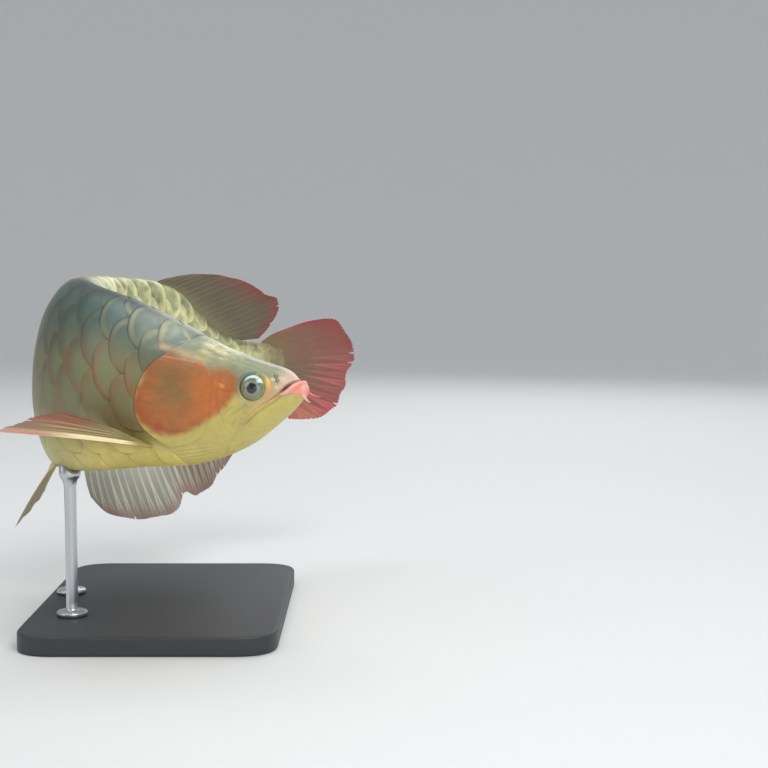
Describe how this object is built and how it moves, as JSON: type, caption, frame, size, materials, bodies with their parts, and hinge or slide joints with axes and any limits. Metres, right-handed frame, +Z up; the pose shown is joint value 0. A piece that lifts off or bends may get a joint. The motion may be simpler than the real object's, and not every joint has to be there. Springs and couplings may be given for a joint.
{
  "type": "asian arowana",
  "caption": "Life-size Asian arowana curled to its left, with large scales, spread fins and chin barbels, held by two rods on a flat display stand.",
  "frame": {"origin": "middle of the stand base's flat underside", "axes": "+Z up. +X is the picture's right, the way the head roughly points, and +Y points away from the viewer of the picture"},
  "size_m": [0.2912, 0.5073, 0.3024],
  "materials": {
    "head": "olive yellow skin with a wet gloss",
    "jaw": "yellow skin, pink at the lip",
    "gill": "orange gill cover with a metallic sheen",
    "trunk": "olive to gold scales with red orange edges",
    "eye": "grey green iris, black pupil, clear front",
    "barbel": "pink skin",
    "dorsal": "olive brown fin with a red edge",
    "anal": "cream fin with a pink edge",
    "caudal": "brownish pink fin with a dark red edge",
    "pectoral": "cream and pink fin",
    "pelvic": "pale olive yellow fin",
    "base": "board painted matt charcoal",
    "rod": "satin steel"
  },
  "bodies": {
    "root": {"head": "head", "lower_jaw": "jaw", "gill_cover_right": "gill", "gill_cover_left": "gill", "eye_right": "eye", "eye_left": "eye", "barbel_right": "barbel", "barbel_left": "barbel", "trunk_front": "trunk", "trunk_middle": "trunk", "trunk_rear": "trunk", "tail_stalk": "trunk", "dorsal_fin": "dorsal", "anal_fin": "anal", "caudal_fin": "caudal", "pectoral_fin_right": "pectoral", "pectoral_fin_left": "pectoral", "pelvic_fin_right": "pelvic", "pelvic_fin_left": "pelvic", "stand_base": "base", "stand_rod_front": "rod", "stand_rod_rear": "rod"}
  },
  "joints": []
}
